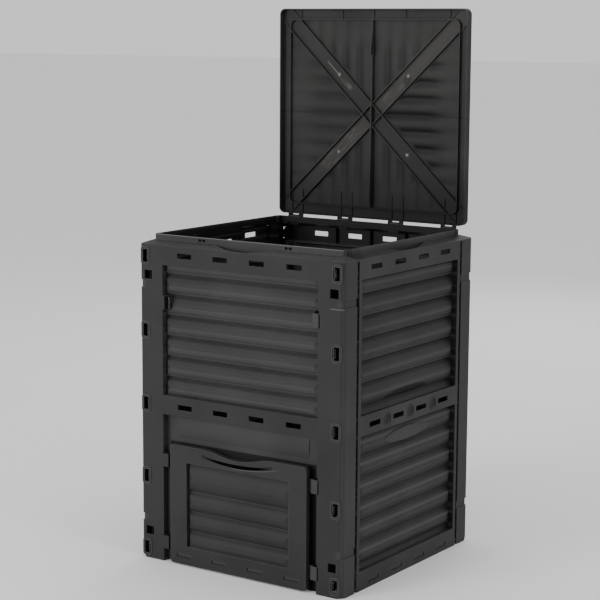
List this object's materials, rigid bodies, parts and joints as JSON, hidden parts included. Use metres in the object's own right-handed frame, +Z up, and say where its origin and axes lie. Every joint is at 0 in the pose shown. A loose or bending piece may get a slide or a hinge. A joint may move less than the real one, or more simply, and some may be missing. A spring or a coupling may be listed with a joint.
{
  "type": "compost bin with lid",
  "caption": "Square black plastic garden compost bin with clapboard walls, a hinged lid standing open and a slide-up hatch low in the front.",
  "frame": {"origin": "centre of the bounding box's footprint, on the ground plane", "axes": "+X along the front wall to the right as seen from the front, +Y to the hinge side, +Z up; the hatch faces -Y"},
  "size_m": [0.61, 0.6186, 1.3905],
  "materials": {
    "walls": "fine moulded texture, slight sheen",
    "lid": "fine moulded texture, slight sheen",
    "hatch": "fine moulded texture, slight sheen"
  },
  "bodies": {
    "bin": {"front_panel": "walls", "back_panel": "walls", "left_panel": "walls", "right_panel": "walls"},
    "lid": {"lid": "lid"},
    "hatch": {"hatch_door": "hatch"}
  },
  "joints": [
    {"name": "lid_hinge", "type": "hinge", "parent": "bin", "child": "lid", "pos_m": [0, 0.29075, 0.824], "axis": [1, 0, 0], "range_deg": [0, 90]},
    {"name": "hatch_slide", "type": "slide", "parent": "bin", "child": "hatch", "axis": [0, 0, 1], "range_m": [0, 0.07]}
  ]
}
